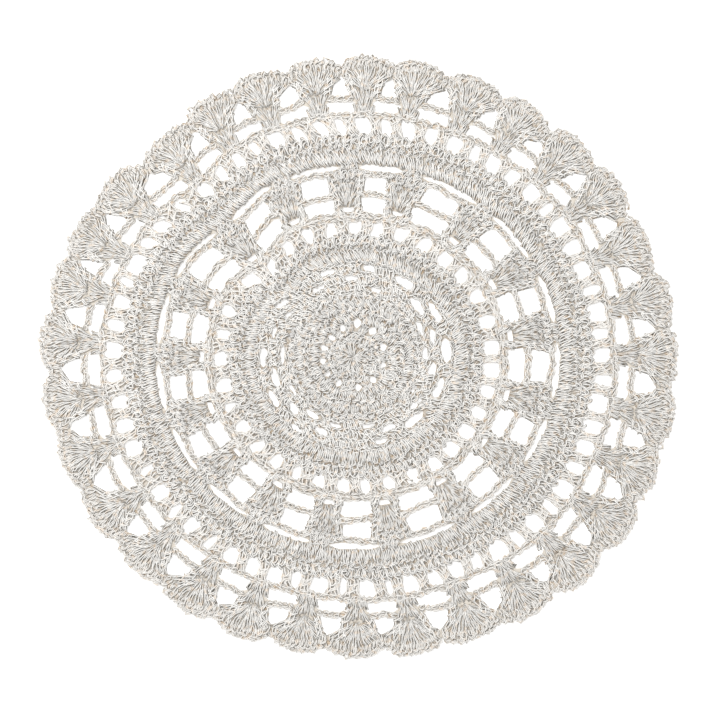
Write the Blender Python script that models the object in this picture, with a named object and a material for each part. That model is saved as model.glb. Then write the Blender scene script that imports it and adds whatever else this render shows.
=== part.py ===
"""Crochet placemat: a round lace mat in natural cotton, worked in rounds from the middle out.

The mat is one flat solid with every gap of the lace cut through it. Its rounds are drawn in their
own terms, as a radius and a turn, and place() sets them down as the hand left them: a little oval,
swung to one side, and drawn in at the seam where each round was joined.
"""
import math
from collections import namedtuple

import bpy

MM = 0.001

# Sheet
THICKNESS = 3.0 * MM

# How far the rounds run out of true
SWING = 0.024          # share of a round's radius by which it leans towards turn 0
OVAL = 0.025           # share of a round's radius by which it is longer along turn 0
SEAM_TURN = 133.0      # degrees, where the rounds are joined
SEAM_SPAN = 10.5       # degrees over which the seam draws the rounds in
SEAM_DIP = 5.3 * MM
SEAM_FROM = 65.0 * MM  # radius from which the seam has its full dip

# The hand's unevenness: how fast it changes from gap to gap, and how much each kind of gap varies
BEAT = namedtuple("Beat", "quick slow kind")(2.4, 0.9, 1.7)
Varies = namedtuple("Varies", "size lean")
INNER_MESH_VARIES = Varies(0.12, 0.6)    # share of the width, and degrees
TIER_VARIES = Varies(0.07, 0.3)
OUTER_MESH_VARIES = Varies(0.12, 0.35)

# How gaps are cut
CORNER = 0.2           # share of each side taken off at a corner
BLUNT = 0.55           # share of a slot's half length at which it starts to close
MESH_TAPER = 0.88      # a mesh hole's far side as a share of its near side

# Slots and eyelets: where each lies and its size
Slot = namedtuple("Slot", "turn radius width height")


def slots(*rows):
    """Slots from rows of a turn in degrees and three sizes in millimetres."""
    return tuple(Slot(turn, radius * MM, width * MM, height * MM) for turn, radius, width, height in rows)


# Centre: a ring of small eyelets between the first and the second round
EYELETS = slots(
    (18, 18.0, 3.4, 2.6), (53, 19.2, 4.0, 3.4), (83, 20.8, 4.6, 4.2), (110, 18.8, 3.2, 2.6),
    (138, 18.4, 3.6, 3.0), (162, 18.0, 3.6, 3.0), (187, 18.2, 3.0, 2.4), (213, 18.4, 3.0, 2.4),
    (241, 18.2, 3.8, 2.8), (279, 18.8, 3.4, 2.6), (311, 17.8, 3.2, 2.6), (345, 17.2, 3.4, 2.8),
)

# Three rounds of chain arches that lie flat, with a slot where an arch stands open
ARCH_SLOTS = (
    slots(
        (2, 41.0, 8.0, 2.8), (23, 41.6, 8.0, 2.8), (71, 42.8, 5.0, 2.2), (159, 38.0, 9.0, 3.6),
        (178, 42.2, 12.0, 2.2), (208, 41.4, 9.0, 1.8), (234, 43.0, 9.0, 2.6), (255, 43.6, 7.0, 2.8),
        (281, 42.6, 10.0, 2.4), (330, 39.4, 9.0, 1.8),
    ),
    slots(
        (13, 47.0, 10.0, 3.2), (38, 47.8, 12.0, 5.2), (90, 48.4, 10.0, 3.6), (117, 47.2, 8.0, 2.8),
        (147, 46.8, 8.0, 2.4), (163, 49.8, 7.5, 2.4), (195, 48.2, 12.0, 3.4), (220, 48.0, 9.0, 4.2),
        (246, 49.8, 9.5, 3.6), (296, 47.6, 9.5, 3.8), (324, 45.2, 11.0, 3.0), (350, 45.4, 9.0, 3.8),
    ),
    slots(
        (4, 53.2, 13.0, 5.0), (28, 53.6, 14.0, 3.6), (55, 53.6, 13.0, 4.8), (79, 55.2, 7.5, 4.4),
        (107, 53.8, 9.0, 2.8), (142, 55.6, 10.0, 4.6), (180, 53.4, 11.0, 3.6), (208, 53.8, 11.0, 2.8),
        (232, 55.4, 7.5, 2.8), (288, 53.4, 8.5, 2.4), (314, 51.4, 13.5, 3.8), (340, 51.8, 12.0, 4.6),
    ),
)

# Inner mesh round: square holes between single posts
INNER_MESH = namedtuple("InnerMesh", "count first low high width")(34, 4.8, 74.9 * MM, 82.9 * MM, 8.2 * MM)
SEAM_STEP = 6.4        # degrees by which the mesh steps on at the seam
SEAM_CLOSE = 64.0      # degrees at the end of the round over which that step is closed up again

# Fans of the inner lace, in two tiers, with a chain bar between each two
Tier = namedtuple("Tier", "low low_width high high_width")
FAN_TURNS = (7.8, 27.5, 49.0, 72.8, 92.0, 113.4, 135.6, 159.4, 180.0,
             199.7, 219.7, 239.7, 260.6, 282.2, 305.3, 326.6, 346.2)
FAN_TIERS = (
    Tier(87.9 * MM, 15.6 * MM, 96.5 * MM, 15.8 * MM),
    Tier(101.2 * MM, 19.0 * MM, 110.9 * MM, 24.6 * MM),
)
FAN_SLIT = namedtuple("FanSlit", "radius width height")(90.0 * MM, 8.0 * MM, 2.2 * MM)
BAND_SLOT = namedtuple("BandSlot", "radius height fan_width shift")(115.8 * MM, 3.4 * MM, 11.5 * MM, -0.9)

# Outer mesh round: a wide hole below each shell and a narrow one between two shells
OUTER_MESH = namedtuple("OuterMesh", "low high below_width between_width")(
    137.1 * MM, 146.0 * MM, 10.2 * MM, 7.3 * MM)
MESH_SHIFT = namedtuple("MeshShift", "mean swing towards")(0.6, 1.7, 240.0)

# Shells of the rim, in two tiers: where each stands, how far its tip reaches from the middle, and
# how far out the notch after it lies
Shell = namedtuple("Shell", "turn reach notch")
SHELLS = tuple(Shell(turn, reach * MM, notch * MM) for turn, reach, notch in (
    (0.5, 194.0, 189.0),
    (10.9, 193.5, 185.0),
    (21.9, 190.0, 184.0),
    (33.1, 190.0, 183.5),
    (43.8, 187.5, 176.5),
    (55.0, 185.0, 176.5),
    (65.6, 183.0, 175.0),
    (77.2, 181.0, 175.0),
    (87.5, 180.5, 173.0),
    (98.1, 179.5, 173.0),
    (109.4, 179.5, 174.0),
    (120.3, 178.0, 171.5),
    (131.6, 174.5, 168.5),
    (145.0, 180.5, 177.0),
    (155.9, 183.5, 180.0),
    (165.9, 185.5, 181.0),
    (176.9, 187.0, 180.5),
    (188.8, 186.5, 181.0),
    (200.3, 185.5, 179.5),
    (212.8, 184.0, 177.5),
    (224.1, 183.0, 177.0),
    (236.2, 182.0, 175.5),
    (247.8, 181.0, 173.5),
    (259.4, 179.0, 173.0),
    (271.0, 180.0, 173.5),
    (282.2, 182.0, 178.0),
    (294.1, 184.0, 180.5),
    (305.6, 188.5, 183.5),
    (316.6, 193.0, 187.0),
    (327.5, 195.0, 189.0),
    (338.4, 194.5, 189.5),
    (349.1, 195.0, 189.0),
))
SHELL_TIERS = (
    Tier(149.9 * MM, 13.0 * MM, 156.4 * MM, 14.4 * MM),
    Tier(160.6 * MM, 18.2 * MM, 171.0 * MM, 24.6 * MM),
)
TIP = 185.4 * MM       # a shell's tip on the round's true radius
LOOSE_FROM = 120.0 * MM  # beyond this radius the lace follows how far each shell reaches,
LOOSE_TO = 165.0 * MM    # and from here out it follows it whole
NOTCH_LEAN = -0.6      # degrees by which a notch lies off the middle between two shells
KNOBS = 7              # knobs worked along the edge of a shell
KNOB_HEIGHT = 0.9 * MM
SHELL_ROUND = 2.4      # how square-shouldered a shell's edge is: 2 is a plain arc
SHELL_RISE = 0.75      # how steeply the edge leaves the notch

# Finish
COTTON = (0.60, 0.58, 0.54, 1.0)


def out_of_true(radius, turn):
    """How far from the middle a round lies at a turn in degrees."""
    angle = math.radians(turn)
    off_seam = (turn - SEAM_TURN + 180.0) % 360.0 - 180.0
    dip = SEAM_DIP * math.exp(-(off_seam / SEAM_SPAN) ** 2) * min(1.0, radius / SEAM_FROM)
    return radius * (1.0 + SWING * math.cos(angle) + OVAL * math.cos(2.0 * angle)) - dip


def spare_reach(turn):
    """How much further than the round the shells reach at a turn."""
    for number, shell in enumerate(SHELLS):
        before = SHELLS[number - 1]
        pitch = (shell.turn - before.turn) % 360.0
        along = (turn - before.turn) % 360.0
        if along <= pitch:
            share = along / pitch
            spare = [each.reach - out_of_true(TIP, each.turn) for each in (before, shell)]
            return spare[0] * (1.0 - share) + spare[1] * share
    return 0.0


def place(radius, turn):
    """Point of the mat for a round's true radius and a turn in degrees."""
    angle = math.radians(turn)
    loose = min(1.0, max(0.0, (radius - LOOSE_FROM) / (LOOSE_TO - LOOSE_FROM)))
    out = out_of_true(radius, turn) + loose * spare_reach(turn)
    return out * math.cos(angle), out * math.sin(angle)


def uneven(number, kind):
    """The hand's unevenness at one place, from -1 to 1."""
    return math.sin(BEAT.quick * number + BEAT.kind * kind) * math.cos(BEAT.slow * number + kind)


def degrees_wide(width, radius):
    """Turn taken up by a width at a radius."""
    return math.degrees(width / radius)


def gap(turn, low, low_wide, high, high_wide, lean):
    """Four-sided gap with its corners cut; widths and lean in degrees."""
    keep = 1.0 - CORNER
    corners = (
        (-low_wide, low, 0.0), (low_wide, low, 0.0), (high_wide, high, lean), (-high_wide, high, lean),
    )
    loop = []
    for index, (wide, radius, shift) in enumerate(corners):
        before = corners[index - 1]
        after = corners[(index + 1) % 4]
        for other in (before, after):
            at = turn + (wide / 2.0 + shift) * keep + (other[0] / 2.0 + other[2]) * CORNER
            loop.append(place(radius * keep + other[1] * CORNER, at))
    return loop


def slot(turn, radius, width, height):
    """Long low gap that comes to a blunt point at both ends."""
    half = degrees_wide(width, radius) / 2.0
    ends = ((-1.0, 0.0), (-BLUNT, -0.5), (BLUNT, -0.5), (1.0, 0.0), (BLUNT, 0.5), (-BLUNT, 0.5))
    return [place(radius + height * up, turn + half * along) for along, up in ends]


def eyelets():
    """Small four-sided holes round the closed centre."""
    loops = []
    for eye in EYELETS:
        half = degrees_wide(eye.width, eye.radius) / 2.0
        ends = ((-half, 0.0), (0.0, -0.5), (half, 0.0), (0.0, 0.5))
        loops.append([place(eye.radius + eye.height * up, eye.turn + along) for along, up in ends])
    return loops


def arch_slots():
    """Slots left open above the flat chain arches."""
    return [slot(*row) for arches in ARCH_SLOTS for row in arches]


def inner_mesh_turn(number):
    """Turn of a hole of the inner mesh, stepped on past the seam."""
    turn = INNER_MESH.first + 360.0 * number / INNER_MESH.count
    if turn > SEAM_TURN + SEAM_SPAN:
        turn += SEAM_STEP * min(1.0, (360.0 + INNER_MESH.first - turn) / SEAM_CLOSE)
    return turn


def inner_mesh():
    """Holes of the inner mesh."""
    loops = []
    for number in range(INNER_MESH.count):
        size = 1.0 + INNER_MESH_VARIES.size * uneven(number, 3)
        wide = degrees_wide(INNER_MESH.width, INNER_MESH.low) * size
        turn = inner_mesh_turn(number)
        lean = INNER_MESH_VARIES.lean * uneven(number, 4)
        loops.append(gap(turn, INNER_MESH.low, wide, INNER_MESH.high, wide * MESH_TAPER, lean))
    return loops


def between(turns):
    """Middle turn and pitch of each space between neighbours in a round."""
    spaces = []
    for number, turn in enumerate(turns):
        after = turns[(number + 1) % len(turns)]
        pitch = (after - turn) % 360.0
        spaces.append((turn + pitch / 2.0, pitch))
    return spaces


def tier_gaps(turns, tiers):
    """Gaps of two tiers, below and above the chain bars that join the fans or shells."""
    loops = []
    for number, (turn, pitch) in enumerate(between(turns)):
        for kind, tier in enumerate(tiers):
            low_wide = pitch - degrees_wide(tier.low_width, tier.low)
            high_wide = pitch - degrees_wide(tier.high_width, tier.high)
            lean = TIER_VARIES.lean * uneven(number, 5 + kind)
            size = 1.0 + TIER_VARIES.size * uneven(number, 7 + kind)
            loops.append(gap(turn, tier.low, low_wide * size, tier.high, high_wide * size, lean))
    return loops


def fan_slits():
    """Narrow slit across each fan where its upper tier stands on the lower."""
    return [slot(turn, FAN_SLIT.radius, FAN_SLIT.width, FAN_SLIT.height) for turn in FAN_TURNS]


def band_slots():
    """Long slots between the fans' top chain and the close band beyond it."""
    loops = []
    for turn, pitch in between(FAN_TURNS):
        wide = math.radians(pitch) * BAND_SLOT.radius - BAND_SLOT.fan_width
        loops.append(slot(turn + BAND_SLOT.shift, BAND_SLOT.radius, wide, BAND_SLOT.height))
    return loops


def outer_mesh():
    """Holes of the outer mesh, one below each shell and one between."""
    loops = []
    turns = [shell.turn for shell in SHELLS]
    for number, (middle, pitch) in enumerate(between(turns)):
        for kind, turn in enumerate((middle - pitch / 2.0, middle)):
            swing = math.cos(math.radians(turn - MESH_SHIFT.towards))
            at = turn + MESH_SHIFT.mean + MESH_SHIFT.swing * swing
            width = OUTER_MESH.between_width if kind else OUTER_MESH.below_width
            size = 1.0 + OUTER_MESH_VARIES.size * uneven(number, 9 + kind)
            wide = degrees_wide(width, OUTER_MESH.low) * size
            lean = OUTER_MESH_VARIES.lean * uneven(number, 11 + kind)
            loops.append(gap(at, OUTER_MESH.low, wide, OUTER_MESH.high, wide * MESH_TAPER, lean))
    return loops


def rim():
    """Outline of the mat: the shells' knobbly edges, from notch to notch."""
    loop = []
    steps = 2 * KNOBS
    for number, shell in enumerate(SHELLS):
        before = SHELLS[number - 1]
        after = SHELLS[(number + 1) % len(SHELLS)]
        back = ((shell.turn - before.turn) % 360.0) / 2.0
        ahead = ((after.turn - shell.turn) % 360.0) / 2.0
        for step in range(steps):
            along = 2.0 * step / steps - 1.0
            notch = before.notch if along < 0.0 else shell.notch
            rise = (1.0 - abs(along) ** SHELL_ROUND) ** SHELL_RISE
            dent = 0.0 if step == 0 or step % 2 else KNOB_HEIGHT
            out = notch + (shell.reach - notch) * rise - dent
            off = NOTCH_LEAN * along * along
            angle = math.radians(shell.turn + along * (back if along < 0.0 else ahead) + off)
            loop.append((out * math.cos(angle), out * math.sin(angle)))
    return loop


def cotton_yarn():
    """Plied natural cotton, matt."""
    material = bpy.data.materials.new("natural_cotton_yarn")
    material.use_nodes = True
    shader = material.node_tree.nodes["Principled BSDF"]
    shader.inputs["Base Color"].default_value = COTTON
    shader.inputs["Roughness"].default_value = 0.9
    shader.inputs["Metallic"].default_value = 0.0
    return material


def placemat(loops):
    """One flat sheet inside the first loop, with the other loops cut through it."""
    across = [x for x, y in loops[0]]
    along = [y for x, y in loops[0]]
    middle_x = (min(across) + max(across)) / 2.0
    middle_y = (min(along) + max(along)) / 2.0
    curve = bpy.data.curves.new("placemat", "CURVE")
    curve.dimensions = "2D"
    curve.fill_mode = "BOTH"
    curve.extrude = THICKNESS / 2.0
    for loop in loops:
        spline = curve.splines.new("POLY")
        spline.points.add(len(loop) - 1)
        for point, (x, y) in zip(spline.points, loop):
            point.co = (x - middle_x, y - middle_y, 0.0, 1.0)
        spline.use_cyclic_u = True
    curve.materials.append(cotton_yarn())
    mat = bpy.data.objects.new("placemat", curve)
    mat.location.z = THICKNESS / 2.0
    return mat


def main():
    for thing in list(bpy.data.objects):
        bpy.data.objects.remove(thing, do_unlink=True)
    parts = bpy.data.collections.new("crochet_placemat")
    bpy.context.scene.collection.children.link(parts)
    turns = [shell.turn for shell in SHELLS]
    loops = [rim()] + eyelets() + arch_slots() + inner_mesh() + tier_gaps(FAN_TURNS, FAN_TIERS)
    loops += fan_slits() + band_slots() + outer_mesh() + tier_gaps(turns, SHELL_TIERS)
    parts.objects.link(placemat(loops))


main()
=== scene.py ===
"""Crochet placemat: a round lace mat in natural cotton, with every stitch laid as plied yarn.

The rounds are drawn in their own terms, as a radius and a turn, in millimetres and degrees, and
place() sets them down as the hand left them. Each kind of stitch is a few strands of yarn, and each
strand is a short list of points across the stitch, up it and above the table.
"""
import math
from collections import namedtuple

import bpy
import numpy as np
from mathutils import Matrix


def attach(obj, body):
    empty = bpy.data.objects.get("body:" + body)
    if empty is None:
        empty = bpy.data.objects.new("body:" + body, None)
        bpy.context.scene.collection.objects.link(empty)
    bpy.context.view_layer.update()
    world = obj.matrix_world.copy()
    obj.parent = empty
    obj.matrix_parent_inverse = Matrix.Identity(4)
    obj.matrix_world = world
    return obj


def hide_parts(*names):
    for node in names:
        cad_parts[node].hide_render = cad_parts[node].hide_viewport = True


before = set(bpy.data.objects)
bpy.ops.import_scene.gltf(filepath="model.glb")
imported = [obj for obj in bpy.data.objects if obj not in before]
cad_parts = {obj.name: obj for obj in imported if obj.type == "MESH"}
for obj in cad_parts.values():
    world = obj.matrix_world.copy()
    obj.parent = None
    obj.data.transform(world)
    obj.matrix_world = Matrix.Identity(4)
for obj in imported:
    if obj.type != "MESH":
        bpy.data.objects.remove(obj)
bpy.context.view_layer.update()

MM = 0.001

# How far the rounds run out of true
SWING = 0.024          # share of a round's radius by which it leans towards turn 0
OVAL = 0.025           # share of a round's radius by which it is longer along turn 0
SEAM_TURN = 133.0      # degrees, where the rounds are joined
SEAM_SPAN = 10.5       # degrees over which the seam draws the rounds in
SEAM_DIP = 5.3
SEAM_FROM = 65.0       # radius from which the seam has its full dip

# The hand's unevenness in the gaps, as the mat's solid has it: how fast it changes from gap to gap,
# which rhythm each measure follows, and how much each kind of gap varies
BEAT = namedtuple("Beat", "quick slow kind")(2.4, 0.9, 1.7)
RHYTHM = namedtuple("Rhythm", "inner_size inner_lean tier_lean tier_size outer_size outer_lean")(
    3, 4, 5, 7, 9, 11)
Varies = namedtuple("Varies", "size lean")
INNER_MESH_VARIES = Varies(0.12, 0.6)    # share of the width, and degrees
TIER_VARIES = Varies(0.07, 0.3)
OUTER_MESH_VARIES = Varies(0.12, 0.35)

# How gaps are cut
CORNER = 0.2           # share of each side taken off at a corner
BLUNT = 0.55           # share of a slot's half length at which it starts to close
MESH_TAPER = 0.88      # a mesh hole's far side as a share of its near side

Slot = namedtuple("Slot", "turn radius width height")


def slots(*rows):
    """Slots from rows of a turn in degrees and three sizes in millimetres."""
    return tuple(Slot(*row) for row in rows)


# The ring of small eyelets in the centre
EYELETS = slots(
    (18, 18.0, 3.4, 2.6), (53, 19.2, 4.0, 3.4), (83, 20.8, 4.6, 4.2), (110, 18.8, 3.2, 2.6),
    (138, 18.4, 3.6, 3.0), (162, 18.0, 3.6, 3.0), (187, 18.2, 3.0, 2.4), (213, 18.4, 3.0, 2.4),
    (241, 18.2, 3.8, 2.8), (279, 18.8, 3.4, 2.6), (311, 17.8, 3.2, 2.6), (345, 17.2, 3.4, 2.8),
)

# Three rounds of chain arches that lie flat, with a slot where an arch stands open
ARCH_SLOTS = (
    slots(
        (2, 41.0, 8.0, 2.8), (23, 41.6, 8.0, 2.8), (71, 42.8, 5.0, 2.2), (159, 38.0, 9.0, 3.6),
        (178, 42.2, 12.0, 2.2), (208, 41.4, 9.0, 1.8), (234, 43.0, 9.0, 2.6), (255, 43.6, 7.0, 2.8),
        (281, 42.6, 10.0, 2.4), (330, 39.4, 9.0, 1.8),
    ),
    slots(
        (13, 47.0, 10.0, 3.2), (38, 47.8, 12.0, 5.2), (90, 48.4, 10.0, 3.6), (117, 47.2, 8.0, 2.8),
        (147, 46.8, 8.0, 2.4), (163, 49.8, 7.5, 2.4), (195, 48.2, 12.0, 3.4), (220, 48.0, 9.0, 4.2),
        (246, 49.8, 9.5, 3.6), (296, 47.6, 9.5, 3.8), (324, 45.2, 11.0, 3.0), (350, 45.4, 9.0, 3.8),
    ),
    slots(
        (4, 53.2, 13.0, 5.0), (28, 53.6, 14.0, 3.6), (55, 53.6, 13.0, 4.8), (79, 55.2, 7.5, 4.4),
        (107, 53.8, 9.0, 2.8), (142, 55.6, 10.0, 4.6), (180, 53.4, 11.0, 3.6), (208, 53.8, 11.0, 2.8),
        (232, 55.4, 7.5, 2.8), (288, 53.4, 8.5, 2.4), (314, 51.4, 13.5, 3.8), (340, 51.8, 12.0, 4.6),
    ),
)

# Inner mesh round: square holes between single posts
INNER_MESH = namedtuple("InnerMesh", "count first low high width")(34, 4.8, 74.9, 82.9, 8.2)
SEAM_STEP = 6.4        # degrees by which the mesh steps on at the seam
SEAM_CLOSE = 64.0      # degrees at the end of the round over which that step is closed up again

# Fans of the inner lace, in two tiers, with a chain bar between each two
Tier = namedtuple("Tier", "low low_width high high_width")
FAN_TURNS = (7.8, 27.5, 49.0, 72.8, 92.0, 113.4, 135.6, 159.4, 180.0,
             199.7, 219.7, 239.7, 260.6, 282.2, 305.3, 326.6, 346.2)
FAN_TIERS = Tier(87.9, 15.6, 96.5, 15.8), Tier(101.2, 19.0, 110.9, 24.6)
FAN_SLIT = namedtuple("FanSlit", "radius width height")(90.0, 8.0, 2.2)
BAND_SLOT = namedtuple("BandSlot", "radius height fan_width shift")(115.8, 3.4, 11.5, -0.9)

# Outer mesh round: a wide hole below each shell and a narrow one between two shells
OUTER_MESH = namedtuple("OuterMesh", "low high below_width between_width")(137.1, 146.0, 10.2, 7.3)
MESH_SHIFT = namedtuple("MeshShift", "mean swing towards")(0.6, 1.7, 240.0)
MESH_DRAWN = namedtuple("MeshDrawn", "lean towards narrow")(1.5, 96.0, 6)     # where its posts lean most

# Shells of the rim: where each stands, how far its tip reaches from the middle, and how far out the
# notch after it lies
Shell = namedtuple("Shell", "turn reach notch")
SHELLS = tuple(Shell(*row) for row in (
    (0.5, 194.0, 189.0), (10.9, 193.5, 185.0), (21.9, 190.0, 184.0), (33.1, 190.0, 183.5),
    (43.8, 187.5, 176.5), (55.0, 185.0, 176.5), (65.6, 183.0, 175.0), (77.2, 181.0, 175.0),
    (87.5, 180.5, 173.0), (98.1, 179.5, 173.0), (109.4, 179.5, 174.0), (120.3, 178.0, 171.5),
    (131.6, 174.5, 168.5), (145.0, 180.5, 177.0), (155.9, 183.5, 180.0), (165.9, 185.5, 181.0),
    (176.9, 187.0, 180.5), (188.8, 186.5, 181.0), (200.3, 185.5, 179.5), (212.8, 184.0, 177.5),
    (224.1, 183.0, 177.0), (236.2, 182.0, 175.5), (247.8, 181.0, 173.5), (259.4, 179.0, 173.0),
    (271.0, 180.0, 173.5), (282.2, 182.0, 178.0), (294.1, 184.0, 180.5), (305.6, 188.5, 183.5),
    (316.6, 193.0, 187.0), (327.5, 195.0, 189.0), (338.4, 194.5, 189.5), (349.1, 195.0, 189.0),
))
SHELL_TIERS = Tier(149.9, 13.0, 156.4, 14.4), Tier(160.6, 18.2, 171.0, 24.6)
TIP = 185.4            # a shell's tip on the round's true radius
LOOSE_FROM = 120.0     # beyond this radius the lace follows how far each shell reaches,
LOOSE_TO = 165.0       # and from here out it follows it whole
NOTCH_LEAN = -0.6      # degrees by which a notch lies off the middle between two shells
KNOBS = 7              # knobs worked along the edge of a shell
KNOB_HEIGHT = 0.9
SHELL_ROUND = 2.4      # how square-shouldered a shell's edge is: 2 is a plain arc
SHELL_RISE = 0.75      # how steeply the edge leaves the notch

# Yarn: two plies of cotton, squeezed thinner where stitches crowd
YARN = 2.1             # thickness across both plies
THIN = 1.3             # the least that crowding leaves of it
BACK_YARN = 1.9        # thickness of the strands that show only on the underside
BACK_CROWD = 0.52      # and their widest share of a stitch
PLY = 0.52             # thickness of a ply, as a share of the yarn's
PLY_OFF = 0.26         # how far a ply lies off the yarn's middle, as a share of its thickness
PLY_END = 0.7          # thickness of a ply's two ends, as a share of the rest
TWIST = 13.0           # length of yarn in which the two plies go once round each other
UNTRUE = 0.6           # radians by which the plies are off lying side by side half way along
YARN_RUN = 50.0        # length of yarn from anywhere along which a strand may be taken
SIDES = 4              # flat sides round a ply
STEP = 2.3             # length of yarn between the points that a curve is laid through
BACK_STEP = 3.6
SKIN = 0.05            # how far the lowest strands stay above the table
NEAR_UP = (0.05, 0.03, 1.0)    # a direction that no strand runs along

# The hand: how far it lets things stray, one way or the other
SLACK = 0.25           # a strand's points
SLACK_UP = 0.6         # and their height, as a share of that
STRAY = 0.3            # a whole stitch's foot and head
WANDER = 0.55          # a line of chain
BAR_STRAY = 0.6        # each end and the middle of a bar between two fans
BAR_WANDER = 0.6       # share of a long line's wander that such a bar has
POST_STRAY = 0.7       # the foot or head of a mesh post
HEART_STRAY = 0.6      # how high the heart of a shell reaches
UNEVEN_STEP = 0.06     # share of a stitch's width by which its place in a round is off
RAGGED = 0.06          # share of a stitch's height by which one strand starts before the next
RAGGED_RISE = 3.0      # how fast that comes in above the stitch's foot
PULLED_TOWARDS = 70.0  # degrees, the side on which upright stitches lean on with the round

# The inner yarn that closes the fabric between the strands of the two faces
GROUND_LOW = 1.1
GROUND_HIGH = 1.5
GROUND_INSET = 2.8     # how far it keeps in from the outline
KEEPS_BACK = {8: 1.9, 6: 0.8, 4: 1.2}    # from a gap, slot or eyelet, by how many corners it has

rng = np.random.default_rng(34)


def off_from(middle, turn):
    """Degrees by which a turn lies past a middle one, at most half a round either way."""
    return (turn - middle + 180.0) % 360.0 - 180.0


def out_of_true(radius, turn):
    """How far from the middle a round lies at a turn in degrees."""
    angle = np.radians(turn)
    off_seam = off_from(SEAM_TURN, turn)
    dip = SEAM_DIP * np.exp(-(off_seam / SEAM_SPAN) ** 2) * np.minimum(1.0, radius / SEAM_FROM)
    return radius * (1.0 + SWING * np.cos(angle) + OVAL * np.cos(2.0 * angle)) - dip


SHELL_TURNS = np.array([shell.turn for shell in SHELLS])
SPARE_REACH = np.array([shell.reach for shell in SHELLS]) - out_of_true(TIP, SHELL_TURNS)


def place(radius, turn):
    """Points of the mat for a round's true radius and a turn in degrees, in millimetres."""
    radius, turn = np.broadcast_arrays(np.asarray(radius, float), np.asarray(turn, float))
    loose = np.clip((radius - LOOSE_FROM) / (LOOSE_TO - LOOSE_FROM), 0.0, 1.0)
    spare = np.interp(turn % 360.0, SHELL_TURNS, SPARE_REACH, period=360.0)
    out = out_of_true(radius, turn) + loose * spare
    angle = np.radians(turn)
    return np.stack([out * np.cos(angle), out * np.sin(angle)], -1)


def uneven(number, kind):
    """The hand's unevenness at one place, from -1 to 1."""
    return math.sin(BEAT.quick * number + BEAT.kind * kind) * math.cos(BEAT.slow * number + kind)


def degrees_wide(width, radius):
    """Turn taken up by a width at a radius."""
    return math.degrees(width / radius)


def rim_at(number, along, inset=0.0):
    """Points on a shell's edge, from -1 at the notch before it to 1 at the notch after it."""
    before, shell, after = SHELLS[number - 1], SHELLS[number], SHELLS[(number + 1) % len(SHELLS)]
    back = ((shell.turn - before.turn) % 360.0) / 2.0
    ahead = ((after.turn - shell.turn) % 360.0) / 2.0
    along = np.asarray(along, float)
    notch = np.where(along < 0.0, before.notch, shell.notch)
    rise = (1.0 - np.abs(along) ** SHELL_ROUND) ** SHELL_RISE
    out = notch + (shell.reach - notch) * rise - inset
    angle = np.radians(shell.turn + along * np.where(along < 0.0, back, ahead) + NOTCH_LEAN * along ** 2)
    return np.stack([out * np.cos(angle), out * np.sin(angle)], -1)


def outline(knob, inset=0.0):
    """The mat's rim or a line inside it, with dents between its knobs."""
    step = np.arange(2 * KNOBS)
    dent = inset + np.where((step == 0) | (step % 2 == 1), 0.0, knob)
    return np.concatenate([rim_at(number, step / KNOBS - 1.0, dent) for number in range(len(SHELLS))])


RIM = outline(KNOB_HEIGHT)
MIDDLE = (RIM.min(0) + RIM.max(0)) / 2.0


# Strands of each stitch: (across in stitch widths, up in stitch heights, above the table in mm)
Stitch = namedtuple("Stitch", "crowd front back")     # crowd is a strand's widest share of its stitch
PLAIN_BACK = (
    ((-0.22, 0.0, 0.9), (-0.16, 0.5, 0.85), (-0.24, 1.0, 0.9)),
    ((0.28, 0.0, 0.9), (0.24, 0.5, 0.85), (0.28, 1.0, 0.9)),
)
BAND_STITCH = Stitch(0.47, (
    ((-0.34, -0.03, 2.0), (-0.40, 0.18, 2.4), (-0.30, 0.36, 2.4), (-0.36, 0.58, 1.6)),
    ((-0.02, -0.03, 1.9), (-0.06, 0.20, 2.2), (0.04, 0.36, 2.3), (-0.02, 0.62, 1.6)),
    ((0.32, -0.03, 2.0), (0.26, 0.18, 2.4), (0.38, 0.36, 2.3), (0.32, 0.54, 1.6)),
    ((-0.52, 0.44, 1.7), (-0.34, 0.62, 2.5), (-0.04, 0.64, 2.5), (0.10, 0.48, 1.6)),
    ((0.06, 0.50, 1.6), (0.18, 0.68, 2.4), (0.42, 0.74, 2.4), (0.56, 0.58, 1.6)),
    ((-0.44, 0.64, 1.7), (-0.16, 0.80, 2.5), (0.20, 0.86, 2.5), (0.06, 1.05, 1.8)),
    ((0.50, 0.72, 1.7), (0.30, 0.94, 2.4), (-0.24, 0.84, 2.3), (-0.50, 1.02, 1.8)),
), PLAIN_BACK)
FAN_STITCH = Stitch(0.54, (
    ((-0.24, -0.05, 1.8), (-0.28, 0.22, 2.1), (-0.20, 0.6, 2.3), (-0.26, 1.03, 1.7)),
    ((0.26, -0.05, 1.7), (0.22, 0.28, 2.0), (0.30, 0.66, 2.2), (0.22, 1.03, 1.7)),
), PLAIN_BACK)
WING_STITCH = Stitch(0.46, (
    ((-0.30, -0.05, 1.3), (-0.36, 0.3, 1.9), (-0.32, 0.7, 2.0), (-0.24, 1.05, 1.5)),
    ((0.26, -0.05, 1.3), (0.16, 0.3, 2.0), (0.20, 0.7, 2.0), (0.30, 1.05, 1.5)),
    ((-0.54, 0.04, 1.2), (-0.18, 0.18, 2.5), (0.18, 0.28, 2.4), (0.52, 0.30, 1.2)),
    ((-0.54, 0.30, 1.2), (-0.18, 0.44, 2.5), (0.18, 0.56, 2.4), (0.52, 0.60, 1.2)),
    ((-0.54, 0.60, 1.2), (-0.18, 0.74, 2.5), (0.18, 0.86, 2.4), (0.50, 0.92, 1.2)),
), PLAIN_BACK)
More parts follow.
